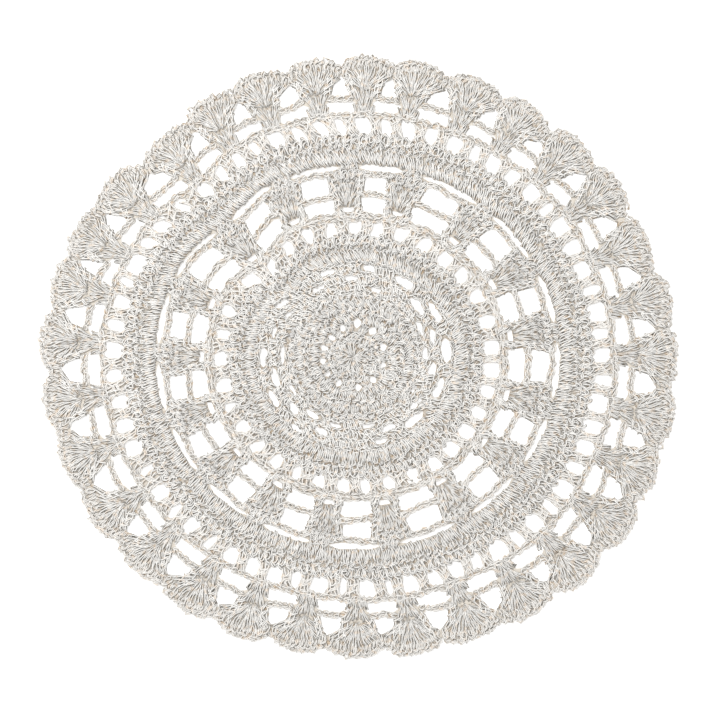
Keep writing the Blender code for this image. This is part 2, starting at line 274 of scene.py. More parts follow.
MESH_STITCH = Stitch(0.46, (
    ((-0.56, -0.12, 1.8), (-0.42, 0.18, 2.1), (-0.36, 0.66, 2.1), (-0.62, 1.04, 1.8)),
    ((0.60, -0.12, 1.8), (0.42, 0.20, 2.1), (0.38, 0.68, 2.1), (0.54, 1.04, 1.8)),
    ((-0.12, -0.10, 1.8), (-0.16, 0.30, 2.3), (-0.06, 0.60, 2.3), (-0.26, 1.04, 1.8)),
    ((0.24, -0.10, 1.8), (0.12, 0.30, 2.2), (0.20, 0.60, 2.2), (0.10, 1.04, 1.8)),
    ((-0.50, 0.12, 1.5), (-0.22, 0.26, 2.6), (0.16, 0.44, 2.6), (0.34, 0.22, 1.6)),
    ((-0.46, 0.60, 1.5), (-0.10, 0.56, 2.6), (0.28, 0.72, 2.6), (0.50, 0.92, 1.5)),
), PLAIN_BACK)
CHAIN_STITCH = Stitch(0.50, (
    ((0.04, -0.16, 1.1), (-0.28, 0.20, 2.0), (-0.32, 0.64, 2.1), (-0.06, 1.14, 1.5)),
    ((0.02, -0.10, 1.1), (0.28, 0.28, 2.0), (0.30, 0.68, 2.1), (0.04, 1.16, 1.5)),
), (((-0.04, -0.1, 0.9), (0.06, 0.5, 0.85), (-0.04, 1.1, 0.9)),))
TOP_STITCH = Stitch(0.52, (
    ((-0.46, -0.30, 1.5), (-0.40, 0.30, 2.3), (-0.04, 0.84, 2.4), (0.34, 0.56, 2.1)),
    ((0.40, -0.22, 1.5), (0.58, 0.34, 2.1), (0.36, 0.88, 2.2), (0.0, 0.98, 1.6)),
    ((-0.12, -0.32, 1.5), (-0.12, 0.14, 2.1), (0.12, 0.46, 2.4), (0.46, 0.44, 1.6)),
), (((-0.1, -0.2, 0.9), (0.14, 0.4, 0.85), (0.1, 0.9, 0.9)),))
EDGE_STITCH = Stitch(0.52, (
    ((-0.34, -0.14, 1.4), (-0.38, 0.16, 2.2), (-0.26, 0.40, 2.3), (-0.42, 0.60, 1.5)),
    ((0.20, -0.14, 1.4), (0.12, 0.16, 2.2), (0.26, 0.38, 2.2), (0.10, 0.58, 1.5)),
    ((-0.54, 0.60, 1.3), (-0.30, 0.88, 2.2), (0.18, 0.96, 2.1), (0.54, 0.70, 1.4)),
    ((-0.44, 0.34, 1.5), (-0.12, 0.62, 2.7), (0.28, 0.70, 2.5), (0.56, 0.46, 1.4)),
), (((-0.2, 0.0, 0.9), (-0.2, 0.7, 0.85), (0.2, 0.7, 0.85), (0.2, 0.0, 0.9)),))


def curve_weights(count, steps):
    """How much each of a strand's points gives to each step of the smooth curve through them."""
    rows = np.zeros((steps + 1, count))
    for row, at in enumerate(np.linspace(0.0, count - 1.0, steps + 1)):
        first = min(int(at), count - 2)
        t = at - first
        weights = (
            -t ** 3 + 2 * t ** 2 - t,
            3 * t ** 3 - 5 * t ** 2 + 2,
            -3 * t ** 3 + 4 * t ** 2 + t,
            t ** 3 - t ** 2,
        )
        for key, weight in zip(range(first - 1, first + 3), weights):
            rows[row, min(max(key, 0), count - 1)] += weight / 2.0
    return rows


def length_along(paths):
    """Length of yarn from each path's start to each of its points."""
    step = np.linalg.norm(np.diff(paths, axis=1), axis=2)
    return np.concatenate([np.zeros((len(paths), 1)), np.cumsum(step, 1)], 1)


def square_to(paths):
    """Directions to the side of each path and over it, all along."""
    ahead = np.gradient(paths, axis=1)
    ahead /= np.linalg.norm(ahead, axis=2, keepdims=True)
    side = np.cross(ahead, NEAR_UP)
    side /= np.linalg.norm(side, axis=2, keepdims=True)
    return side, np.cross(side, ahead)


def ply(yarn):
    """The two plies of each length of yarn, wound round each other and side by side half way along."""
    paths, thick = yarn[..., :3], yarn[..., 3:]
    side, over = square_to(paths)
    run = length_along(paths)
    angle = 2.0 * math.pi * (run - run[:, -1:] / 2.0) / TWIST + rng.normal(0.0, UNTRUE, (len(paths), 1))
    angle = angle[..., None]
    off = (np.cos(angle) * side + np.sin(angle) * over) * thick * PLY_OFF
    return [np.concatenate([paths + way * off, thick * PLY], -1) for way in (1.0, -1.0)]


def lay(stitch, start, end, wide, slack=SLACK):
    """Centre lines of a stitch's plies, laid from every start to every end, each with the ply's
    thickness as a fourth number; wide is the stitch's width at both ends."""
    start = np.asarray(start, float).reshape(-1, 2)
    start = start + rng.normal(0.0, STRAY, start.shape)
    end = np.asarray(end, float).reshape(-1, 2)
    end = end + rng.normal(0.0, STRAY, end.shape)
    low_wide, high_wide = (np.broadcast_to(np.asarray(each, float), len(start)) for each in wide)
    up = end - start
    ahead = up / np.linalg.norm(up, axis=1, keepdims=True)
    right = np.stack([ahead[:, 1], -ahead[:, 0]], 1)
    laid = []
    for strand in stitch.front + stitch.back:
        keys = np.array(strand)
        in_front = strand in stitch.front
        share = np.clip(keys[:, 1], 0.0, 1.0)
        broad = low_wide[:, None] * (1.0 - share) + high_wide[:, None] * share
        ragged = rng.normal(0.0, RAGGED, (len(start), 1)) * np.clip(RAGGED_RISE * keys[:, 1], 0.0, 1.0)
        reach = (keys[:, 1] + ragged)[..., None]
        flat = start[:, None] + up[:, None] * reach + right[:, None] * (keys[:, 0] * broad)[..., None]
        crowd, thickest = (stitch.crowd, YARN) if in_front else (BACK_CROWD, BACK_YARN)
        thick = np.clip(crowd * broad, THIN, thickest)
        height = np.broadcast_to(keys[:, 2], thick.shape)
        points = np.concatenate([flat, height[..., None], thick[..., None]], 2)
        points = points + rng.normal(0.0, 1.0, points.shape) * (slack, slack, SLACK_UP * slack, 0.0)
        points[..., 2] = np.maximum(points[..., 2], points[..., 3] * (PLY_OFF + PLY / 2.0) + SKIN)
        long = length_along(points[..., :3])[:, -1].mean()
        steps = max(3, round(long / STEP)) if in_front else max(2, round(long / BACK_STEP))
        yarn = np.einsum("sk,nkc->nsc", curve_weights(len(keys), steps), points)
        laid += ply(yarn) if in_front else [yarn]
    return laid


def spin(strands):
    """A ply along every path: points, faces of four and end faces, and where each corner lies along
    the ply in millimetres and round it from 0 to 1."""
    paths, size = strands[..., :3], strands[..., 3] / 2.0
    count, rows = paths.shape[:2]
    side, over = square_to(paths)
    around = np.arange(SIDES)
    angle = 2.0 * math.pi * around / SIDES + math.pi / 2.0
    ring = np.cos(angle)[:, None] * side[:, :, None] + np.sin(angle)[:, None] * over[:, :, None]
    ends = np.ones(rows)
    ends[[0, -1]] = PLY_END
    points = paths[:, :, None] + ring * (size * ends)[..., None, None]
    base = np.arange(count)[:, None, None] * rows * SIDES
    row = base + (np.arange(rows - 1) * SIDES)[None, :, None]
    first = row + around
    second = row + (around + 1) % SIDES
    quads = np.stack([first, second, second + SIDES, first + SIDES], -1).reshape(-1, 4)
    foot = base[:, 0] + around
    caps = np.concatenate([foot[:, ::-1], foot + (rows - 1) * SIDES])
    run = length_along(paths) + rng.uniform(0.0, YARN_RUN, (count, 1))
    along = np.stack([run[:, :-1], run[:, :-1], run[:, 1:], run[:, 1:]], -1)[:, :, None]
    along = np.broadcast_to(along, (count, rows - 1, SIDES, 4))
    turned = np.stack([around, around + 1, around + 1, around], -1) / SIDES
    turned = np.broadcast_to(turned, along.shape)
    return points.reshape(-1, 3), quads, caps, np.stack([along, turned], -1).reshape(-1, 2)


def put(thing):
    """Puts a new object in the scene."""
    bpy.context.scene.collection.objects.link(thing)
    return thing


def make_mesh(name, points, quads, caps, corner_map):
    """Object from points in millimetres, faces of four and end faces, and a map of the former."""
    mesh = bpy.data.meshes.new(name)
    mesh.vertices.add(len(points))
    mesh.vertices.foreach_set("co", ((points - (*MIDDLE, 0.0)) * MM).astype(np.float32).ravel())
    corners = np.concatenate([quads.ravel(), caps.ravel()])
    sizes = np.concatenate([np.full(len(faces), faces.shape[1]) for faces in (quads, caps)])
    mesh.loops.add(len(corners))
    mesh.loops.foreach_set("vertex_index", corners.astype(np.int32))
    mesh.polygons.add(len(sizes))
    mesh.polygons.foreach_set("loop_start", (np.cumsum(sizes) - sizes).astype(np.int32))
    mesh.polygons.foreach_set("use_smooth", np.ones(len(sizes), bool))
    mesh.update(calc_edges=True)
    filled = np.zeros((len(corners), 2), np.float32)
    filled[:len(corner_map)] = corner_map
    mesh.uv_layers.new(name="yarn").uv.foreach_set("vector", filled.ravel())
    mesh.validate()
    return put(bpy.data.objects.new(name, mesh))


def work(name, strands, yarn=None):
    """One piece of the mat from the centre lines of its yarn."""
    points, quads, caps, maps = [], [], [], []
    held = 0
    for paths in strands:
        made = spin(paths)
        points.append(made[0])
        quads.append(made[1] + held)
        caps.append(made[2] + held)
        maps.append(made[3])
        held += len(made[0])
    piece = make_mesh(name, *(np.concatenate(each) for each in (points, quads, caps, maps)))
    piece.data.materials.append(yarn or COTTON)
    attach(piece, "root")
    return piece


def spacing(points):
    """How wide each stitch of a closed round may be, from its neighbours."""
    return np.linalg.norm(np.roll(points, -1, 0) - np.roll(points, 1, 0), axis=1) / 2.0


# A closed round of upright stitches; lean is in degrees, and sway is how much more of it there is on
# the side where the work was pulled
Round = namedtuple("Round", "stitch count low high lean sway")


def round_of(size, turns, low=None):
    """Stitches of a round at these turns; low gives each stitch a radius of its own to start from."""
    feet = place(size.low if low is None else low, turns)
    heads = place(size.high, turns + size.lean + size.sway * np.cos(np.radians(turns - PULLED_TOWARDS)))
    return lay(size.stitch, feet, heads, (spacing(feet), spacing(heads)))


def chain(points, wide):
    """Chain stitches along a line of points."""
    return lay(CHAIN_STITCH, points[:-1], points[1:], (wide, wide))


def chain_round(points, wide):
    """Chain stitches along a closed round of points."""
    return lay(CHAIN_STITCH, points, np.roll(points, -1, 0), (wide, wide))


def even_turns(count, first=0.0):
    """Turns of a round of evenly worked stitches, with the hand's small unevenness."""
    step = 360.0 / count
    return first + step * (np.arange(count) + rng.normal(0.0, UNEVEN_STEP, count))


def shares(count):
    """Where each stitch of a row stands, between -1 at one end of the row and 1 at the other."""
    return (np.arange(count) + 0.5) / count * 2.0 - 1.0


def hex_colour(text):
    """A colour as the eye names it, turned to the light that it reflects."""
    parts = [int(text[start:start + 2], 16) / 255.0 for start in (0, 2, 4)]
    linear = [part / 12.92 if part <= 0.04045 else ((part + 0.055) / 1.055) ** 2.4 for part in parts]
    return (*linear, 1.0)


def new_material(name):
    """A new material, the tree of its nodes and its shader."""
    material = bpy.data.materials.new(name)
    material.use_nodes = True
    return material, material.node_tree, material.node_tree.nodes["Principled BSDF"]


def join(tree, source, socket):
    """Feeds a socket from another, or from a node's first output in use."""
    if isinstance(source, bpy.types.Node):
        source = next(output for output in source.outputs if output.enabled)
    tree.links.new(source, socket)


def add(tree, kind, links=None, values=None, **settings):
    """Adds a node with its settings, its sockets' own values and what feeds it."""
    node = tree.nodes.new("ShaderNode" + kind)
    for name, value in settings.items():
        setattr(node, name, value)
    for name, value in (values or {}).items():
        node.inputs[name].default_value = value
    for name, source in (links or {}).items():
        join(tree, source, node.inputs[name])
    return node


# Cotton: the sizes of what its surface shows, in millimetres
SPIN_PITCH = 2.6       # length of a ply in which its bundles of fibre go round once
BUNDLES = 3            # bundles of fibre round a ply
RELIEF = 0.12          # how far bundles and fibres stand out
FIBRE = 0.9            # fibres, drawn about fifty times as coarse as they are, so that they show
WARM_SPOT = 2.8        # spots where undyed cotton is yellower
CLOUD = 14.0           # lighter and darker lengths of yarn
HALF_WAY = 1.5         # height half way through the mat
FULL_PAINTED_SHADE_WITHIN = 0.2      # nearer to it than this, yarn is deep in the stitches and fully in painted shade, and further from it than this, it lies open to the light, with no painted shade
NO_PAINTED_SHADE_BEYOND = 1.0      # and further from it than this, it lies open to the light


def cotton_yarn(name, crease_light, deep, deep_warm, top, top_warm):
    """Natural cotton, softly spun: matt and pale, with painted shade in a thin dark line where one ply lies
    against the next and in fine slanting lines between its bundles of fibre, and a warmer, duller painted
    shade deep down. crease_light is the share of light left in the painted line; the tones are those of the
    painted shade deep down and of the open yarn on top."""
    material, tree, shader = new_material(name)
    where = add(tree, "TexCoord").outputs["Object"]
    lie = add(tree, "SeparateXYZ", {"Vector": add(tree, "UVMap", uv_map="yarn")})
    fibre = add(tree, "TexNoise", {"Vector": where},
                {"Scale": 1.0 / (FIBRE * MM), "Detail": 3.0, "Roughness": 0.6})
    spot = add(tree, "TexNoise", {"Vector": where}, {"Scale": 1.0 / (WARM_SPOT * MM), "Detail": 1.0})
    cloud = add(tree, "TexNoise", {"Vector": where}, {"Scale": 1.0 / (CLOUD * MM), "Detail": 2.0})

    # Bundles of fibre that slant round the ply
    turns = add(tree, "Math", {0: lie.outputs["X"]}, {1: 1.0 / SPIN_PITCH}, operation="MULTIPLY")
    phase = add(tree, "Math", {0: lie.outputs["Y"], 1: turns}, operation="ADD")
    wave = add(tree, "Math", {0: phase}, {1: 2.0 * math.pi * BUNDLES}, operation="MULTIPLY")
    spun = add(tree, "Math", {0: wave}, operation="SINE")

    # Tone, from a darker, warmer painted shade deep in the stitches to the unshaded open faces
    height = add(tree, "SeparateXYZ", {"Vector": where})
    above = add(tree, "Math", {0: height.outputs["Z"]}, {1: HALF_WAY * MM}, operation="SUBTRACT")
    out = add(tree, "Math", {0: above}, operation="ABSOLUTE")
    unshaded_share = add(tree, "MapRange", {"Value": out},
                     {"From Min": FULL_PAINTED_SHADE_WITHIN * MM, "From Max": NO_PAINTED_SHADE_BEYOND * MM},
                     interpolation_type="SMOOTHSTEP")
    warm = add(tree, "MapRange", {"Value": spot}, {"From Min": 0.52, "From Max": 0.7})
    shadow, light = (
        add(tree, "Mix", {"Factor": warm}, {"A": hex_colour(plain), "B": hex_colour(warmer)},
            data_type="RGBA") for plain, warmer in ((deep, deep_warm), (top, top_warm))
    )
    tone = add(tree, "Mix", {"Factor": unshaded_share, "A": shadow, "B": light}, data_type="RGBA")

    # Painted shade in the grooves between bundles and on a ply's flanks, which are a quarter and three
    # quarters of the way round it; the yarn's own tone varies at random among fibres and in darker lengths
    flank = add(tree, "Math", {0: lie.outputs["Y"]}, {1: 0.25}, operation="PINGPONG")
    lost = (
        (spun, -1.0, 0.2, 0.84, 1.0),
        (fibre, 0.3, 0.7, 0.93, 1.05),
        (cloud, 0.3, 0.7, 0.96, 1.03),
        (flank, 0.08, 0.21, 1.0, crease_light),
    )
    for source, least, most, low, high in lost:
        left = add(tree, "MapRange", {"Value": source},
                   {"From Min": least, "From Max": most, "To Min": low, "To Max": high})
        tone = add(tree, "VectorMath", {0: tone, "Scale": left}, operation="SCALE")
    join(tree, tone, shader.inputs["Base Color"])

    relief = add(tree, "Math", {0: spun, 2: fibre}, {1: 0.35}, operation="MULTIPLY_ADD")
    bump = add(tree, "Bump", {"Height": relief}, {"Strength": 0.7, "Distance": RELIEF * MM})
    join(tree, bump, shader.inputs["Normal"])
    shader.inputs["Roughness"].default_value = 0.9
    shader.inputs["Sheen Weight"].default_value = 0.15
    shader.inputs["Sheen Roughness"].default_value = 0.5
    return material


STREAK_FROM = 110.0    # radius at which the streaks of the inner yarn have their true width
STREAK_WIDE = 1.3
STREAK_LONG = 5.0
LIGHTER_FROM = 92.0    # radius past which the looser work lets in more light, painted lighter, fully so at the next
LIGHTER_TO = 125.0
LIGHTER_BY = 0.8


def shaded_cotton():
    """The same cotton deep in the stitches, coloured as painted shade where little light comes in: duller
    and warmer, in streaks that run out from the middle as its strands do, and lighter further out."""
    material, tree, shader = new_material("cotton_in_painted_shade_deep_in_the_stitches")
    where = add(tree, "TexCoord").outputs["Object"]
    lie = add(tree, "SeparateXYZ", {"Vector": where})
    turn = add(tree, "Math", {0: lie.outputs["Y"], 1: lie.outputs["X"]}, operation="ARCTAN2")
    across = add(tree, "Math", {0: turn}, {1: STREAK_FROM / STREAK_WIDE}, operation="MULTIPLY")
    out = add(tree, "VectorMath", {0: where}, operation="LENGTH")
    along = add(tree, "Math", {0: out}, {1: 1.0 / (STREAK_LONG * MM)}, operation="MULTIPLY")
    laid = add(tree, "CombineXYZ", {"X": across, "Y": along})
    streak = add(tree, "TexNoise", {"Vector": laid}, {"Scale": 1.0, "Detail": 2.0})
    share = add(tree, "MapRange", {"Value": streak}, {"From Min": 0.35, "From Max": 0.65})
    loose = add(tree, "MapRange", {"Value": out},
                {"From Min": LIGHTER_FROM * MM, "From Max": LIGHTER_TO * MM, "To Max": LIGHTER_BY})
    lit = add(tree, "Math", {0: share, 1: loose}, operation="ADD")
    # Painted shade: a dark warm tone and a lighter one, mixed by the streaks and lighter further out
    tone = add(tree, "Mix", {"Factor": lit},
               {"A": hex_colour("A6998A"), "B": hex_colour("D4CDC2")}, data_type="RGBA")
    join(tree, tone, shader.inputs["Base Color"])
    shader.inputs["Roughness"].default_value = 0.95
    return material


# Both cottons carry painted shade deep down and in their creases; the loose one, on chains, posts and the
# worked edge, has lighter painted shade and a slightly duller tone of its own on top
COTTON = cotton_yarn("plied_natural_cotton", 0.38, "C0BBB2", "C8B090", "F5F3EF", "F5E9DB")
OPEN_WORK_COTTON_LIGHTER_SHADE = cotton_yarn("loose_natural_cotton_lighter_painted_shade", 0.66, "D6D1C9", "DECAB0", "F1EEE9", "F2E6D8")
# Painted shade for the yarn seen deep between the strands
PAINTED_SHADE_COTTON = shaded_cotton()


# The inner yarn: a thin sheet with every gap of the lace cut through it
def gap(turn, low, low_wide, high, high_wide, lean):
    """Four-sided gap with its corners cut; widths and lean in degrees."""
    corners = ((-low_wide, low, 0.0), (low_wide, low, 0.0), (high_wide, high, lean), (-high_wide, high, lean))
    keep = 1.0 - CORNER
    loop = []
    for index, (wide, radius, shift) in enumerate(corners):
        for other in (corners[index - 1], corners[(index + 1) % 4]):
            at = turn + (wide / 2.0 + shift) * keep + (other[0] / 2.0 + other[2]) * CORNER
            loop.append((radius * keep + other[1] * CORNER, at))
    return place(*np.array(loop).T)


SLOT_CORNERS = (-1.0, 0.0), (-BLUNT, -0.5), (BLUNT, -0.5), (1.0, 0.0), (BLUNT, 0.5), (-BLUNT, 0.5)
EYELET_CORNERS = (-1.0, 0.0), (0.0, -0.5), (1.0, 0.0), (0.0, 0.5)


def slot(turn, radius, width, height, corners=SLOT_CORNERS):
    """Low gap that comes to a point at both ends, a blunt one unless it is an eyelet."""
    along, up = np.array(corners).T
    return place(radius + height * up, turn + degrees_wide(width, radius) / 2.0 * along)


def between(turns):
    """Middle turn and pitch of each space between neighbours in a round."""
    spaces = []
    for number, turn in enumerate(turns):
        pitch = (turns[(number + 1) % len(turns)] - turn) % 360.0
        spaces.append((turn + pitch / 2.0, pitch))
    return spaces


def inner_mesh_holes():
    """Turn, width and lean of each hole of the inner mesh, stepped on past the seam."""
    holes = []
    for number in range(INNER_MESH.count):
        turn = INNER_MESH.first + 360.0 * number / INNER_MESH.count
        if turn > SEAM_TURN + SEAM_SPAN:
            turn += SEAM_STEP * min(1.0, (360.0 + INNER_MESH.first - turn) / SEAM_CLOSE)
        size = 1.0 + INNER_MESH_VARIES.size * uneven(number, RHYTHM.inner_size)
        lean = INNER_MESH_VARIES.lean * uneven(number, RHYTHM.inner_lean)
        holes.append((turn, degrees_wide(INNER_MESH.width, INNER_MESH.low) * size, lean))
    return holes


def outer_mesh_holes():
    """Turn, width and lean of each hole of the outer mesh."""
    holes = []
    for number, (middle, pitch) in enumerate(between(SHELL_TURNS)):
        for kind, turn in enumerate((middle - pitch / 2.0, middle)):
            swing = math.cos(math.radians(turn - MESH_SHIFT.towards))
            at = turn + MESH_SHIFT.mean + MESH_SHIFT.swing * swing
            width = OUTER_MESH.between_width if kind else OUTER_MESH.below_width
            size = 1.0 + OUTER_MESH_VARIES.size * uneven(number, RHYTHM.outer_size + kind)
            drawn = max(0.0, math.cos(math.radians(turn - MESH_DRAWN.towards))) ** MESH_DRAWN.narrow
            lean = OUTER_MESH_VARIES.lean * uneven(number, RHYTHM.outer_lean + kind)
            holes.append((at, degrees_wide(width, OUTER_MESH.low) * size, lean + MESH_DRAWN.lean * drawn))
    return holes


def mesh_gaps(mesh, holes):
    """Gaps of a mesh round, from its holes."""
    return [gap(turn, mesh.low, wide, mesh.high, wide * MESH_TAPER, lean) for turn, wide, lean in holes]


def gaps():
    """Every gap of the lace."""
    loops = [slot(*row, EYELET_CORNERS) for row in EYELETS]
    loops += [slot(*row) for arches in ARCH_SLOTS for row in arches]
    loops += mesh_gaps(INNER_MESH, inner_mesh_holes())
    for turns, tiers in ((FAN_TURNS, FAN_TIERS), (SHELL_TURNS, SHELL_TIERS)):
        for number, (turn, pitch) in enumerate(between(turns)):
            for kind, tier in enumerate(tiers):
                size = 1.0 + TIER_VARIES.size * uneven(number, RHYTHM.tier_size + kind)
                lean = TIER_VARIES.lean * uneven(number, RHYTHM.tier_lean + kind)
                low_wide = (pitch - degrees_wide(tier.low_width, tier.low)) * size
                high_wide = (pitch - degrees_wide(tier.high_width, tier.high)) * size
                loops.append(gap(turn, tier.low, low_wide, tier.high, high_wide, lean))
    loops += [slot(turn, *FAN_SLIT) for turn in FAN_TURNS]
    for turn, pitch in between(FAN_TURNS):
        wide = math.radians(pitch) * BAND_SLOT.radius - BAND_SLOT.fan_width
        loops.append(slot(turn + BAND_SLOT.shift, BAND_SLOT.radius, wide, BAND_SLOT.height))
    return loops + mesh_gaps(OUTER_MESH, outer_mesh_holes())


def opened(loop):
    """A gap let out all round, so that only the strands come up to its true edge."""
    out = loop - loop.mean(0)
    return loop + out / np.linalg.norm(out, axis=1, keepdims=True) * KEEPS_BACK[len(loop)]


def inner_yarn():
    """Thin sheet of yarn between the strands of the two faces, inside the outline, in the painted shade tone
    that shows between the strands.
    """
    curve = bpy.data.curves.new("inner_yarn", "CURVE")
    curve.dimensions = "2D"
    curve.fill_mode = "BOTH"
    curve.extrude = (GROUND_HIGH - GROUND_LOW) / 2.0 * MM
    for loop in [outline(0.0, GROUND_INSET), *(opened(each) for each in gaps())]:
        spline = curve.splines.new("POLY")
        spline.points.add(len(loop) - 1)
        for point, (x, y) in zip(spline.points, (loop - MIDDLE) * MM):
            point.co = (x, y, 0.0, 1.0)
        spline.use_cyclic_u = True
    pattern = put(bpy.data.objects.new("inner_yarn_pattern", curve))
    mesh = bpy.data.meshes.new_from_object(pattern.evaluated_get(bpy.context.evaluated_depsgraph_get()))
    bpy.data.objects.remove(pattern)
    bpy.data.curves.remove(curve)
    mesh.name = "inner_yarn"
    corners = np.empty(len(mesh.vertices) * 3, np.float32)
    mesh.vertices.foreach_get("co", corners)
    corners[2::3] += (GROUND_LOW + GROUND_HIGH) / 2.0 * MM
    mesh.vertices.foreach_set("co", corners)
    mesh.materials.clear()
    mesh.materials.append(PAINTED_SHADE_COTTON)
    piece = put(bpy.data.objects.new("inner_yarn", mesh))
    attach(piece, "root")
    return piece


# Centre: a closed eye, then rounds of double crochet that widen out past the eyelets
EYE_ROUNDS = (
    Round(FAN_STITCH, 11, 0.9, 7.6, 6.0, 0.0),
    Round(TOP_STITCH, 15, 6.6, 10.4, 5.0, 0.0),
    Round(BAND_STITCH, 22, 9.6, 15.2, 8.0, 0.0),
)
SECOND_ROUND = Round(BAND_STITCH, 38, 20.4, 30.6, 4.0, 6.0)
THIRD_ROUND = Round(BAND_STITCH, 56, 29.8, 38.6, 4.0, 7.0)
EYELET_POST = namedtuple("EyeletPost", "low middle high lean")(14.6, 18.0, 22.2, 1.0)
POST_FLARE = 1.2       # a post's width at its head, as a share of that at its foot
BESIDE_EYELET = 0.9    # how much of the space between two eyelets its two posts take
OVER_EYELET = 1.3      # how far above an eyelet the next round comes out
EYELET_SIDE = 2.0      # degrees past an eyelet's side in which it still does


def off_slot(hole, turn, past):
    """How far a turn lies off a hole's middle, where 1 is so many degrees past its end."""
    return off_from(hole.turn, turn) / (degrees_wide(hole.width, hole.radius) / 2.0 + past)


def past_eyelets(turns, radius):
    """The radius at each turn from which stitches come out clear of the eyelets."""
    clear = np.full(len(turns), radius)
    for hole in EYELETS:
        over = np.abs(off_slot(hole, turns, EYELET_SIDE)) < 1.0
        clear = np.where(over, hole.radius + hole.height / 2.0 + OVER_EYELET, clear)
    return clear


def eyelet_posts():
    """Two posts between each two eyelets."""
    feet, heads, wide = [], [], []
    for number, (turn, pitch) in enumerate(between([hole.turn for hole in EYELETS])):
        sides = EYELETS[number], EYELETS[(number + 1) % len(EYELETS)]
        solid = pitch - sum(degrees_wide(hole.width, hole.radius) for hole in sides) / 2.0
        solid *= BESIDE_EYELET
        for post in (turn - solid / 4.0, turn + solid / 4.0):
            feet.append(place(EYELET_POST.low, post))
            heads.append(place(EYELET_POST.high, post + EYELET_POST.lean))
            wide.append(math.radians(solid / 2.0) * EYELET_POST.middle)
    return lay(BAND_STITCH, feet, heads, (np.array(wide), np.array(wide) * POST_FLARE))


def centre():
    """The closed middle of the mat, out to the first line of the arches."""
    strands = []
    for each in EYE_ROUNDS:
        strands += round_of(each, even_turns(each.count))
    strands += eyelet_posts()
    turns = even_turns(SECOND_ROUND.count)
    strands += round_of(SECOND_ROUND, turns, past_eyelets(turns, SECOND_ROUND.low))
    strands += round_of(THIRD_ROUND, even_turns(THIRD_ROUND.count))
    return work("centre_rounds", strands)


# Arches: three flat rounds of chain, each bowed round its open slots
CHAIN_WIDE = 4.2
ARCH_EDGES = 39.6, 45.0, 50.8, 57.0
ARCH_PITCH = 3.9
ARCH_FLARE = 1.1       # a stitch's width at its head, as a share of that at its foot
ARCH_STAGGER = 3.0     # degrees by which each line of chain starts past the one inside it
ARCH_LEAN = 2.5        # degrees by which the stitches between the lines lean
BOW_PAST = 2.0         # degrees past a slot's end at which a line starts to bow round it
BREAK_PAST = 0.5       # degrees past a slot's end within which it breaks stitches off
SLOT_CLEAR = 2.0       # from a slot to the line of chain beside it
SLOT_EDGE = 1.1        # from a slot to the end of a stitch that it breaks off
SHORTEST = 1.4         # shortest stitch worth laying there


def arch_line(turns, number):
    """Radius of the line of stitches above a round of arches, bowed clear of the slots on both sides."""
    radius = np.full(len(turns), ARCH_EDGES[number])
    for side, row in ((1.0, number - 1), (-1.0, number)):
        if 0 <= row < len(ARCH_SLOTS):
            for hole in ARCH_SLOTS[row]:
                clear = hole.radius + side * (hole.height / 2.0 + SLOT_CLEAR)
                push = np.where(side * (clear - radius) > 0.0, clear - radius, 0.0)
                bow = np.clip(1.0 - off_slot(hole, turns, BOW_PAST) ** 2, 0.0, 1.0) ** 0.5
                radius = radius + push * bow
    return radius


def arch_uprights(turns, number):
    """Low and high points of the stitches between two lines of arches, broken off at the slots."""
    feet, heads = [], []
    for turn, low, high in zip(turns, arch_line(turns, number), arch_line(turns, number + 1)):
        spans = [(low, high)]
        for hole in ARCH_SLOTS[number]:
            if abs(off_slot(hole, turn, BREAK_PAST)) < 1.0:
                half = hole.height / 2.0 + SLOT_EDGE
                spans = [(low, hole.radius - half), (hole.radius + half, high)]
        for foot, head in spans:
            if head - foot > SHORTEST:
                feet.append(place(foot, turn))
                heads.append(place(head, turn + ARCH_LEAN))
    return feet, heads


def arches():
    """The lines of chain and the stitches between them."""
    strands = []
    for number, edge in enumerate(ARCH_EDGES):
        turns = even_turns(int(2.0 * math.pi * edge / ARCH_PITCH), ARCH_STAGGER * number)
        line = place(arch_line(turns, number) + rng.normal(0.0, WANDER, len(turns)), turns)
        strands += chain_round(line, CHAIN_WIDE)
        if number < len(ARCH_SLOTS):
            feet, heads = arch_uprights(turns, number)
            strands += lay(FAN_STITCH, feet, heads, (ARCH_PITCH, ARCH_PITCH * ARCH_FLARE))
    return work("arch_rounds", strands)


# Close bands: double crochet, and a round of its tops
INNER_BAND = Round(BAND_STITCH, 102, 57.4, 70.6, 2.2, 3.4)
INNER_TOPS = Round(TOP_STITCH, 102, 70.0, 74.6, 0.88, 0.0)
OUTER_BAND = Round(BAND_STITCH, 187, 117.7, 132.0, 1.0, 1.2)
OUTER_TOPS = Round(TOP_STITCH, 187, 131.4, 136.8, 0.4, 0.0)


def band(name, size, tops):
    """A close round with its tops over its heads."""
    turns = even_turns(size.count)
    return work(name, round_of(size, turns) + round_of(tops, turns + size.lean))


# Mesh rounds: single posts, and rings of chain along their heads
Ring = namedtuple("Ring", "radius count wide")
INNER_RINGS = Ring(84.4, 119, 3.6), Ring(86.8, 128, 3.6)
OUTER_RINGS = (Ring(148.2, 207, 4.4),)
INNER_POST_ENDS = 74.2, 83.4
OUTER_POST_ENDS = 136.6, 147.2
WIDEST_POST = 6.0      # a wider space between two mesh holes takes more than one post
POST_SPREAD = 1.05, 1.45   # least and most width of a post, as a share of its space


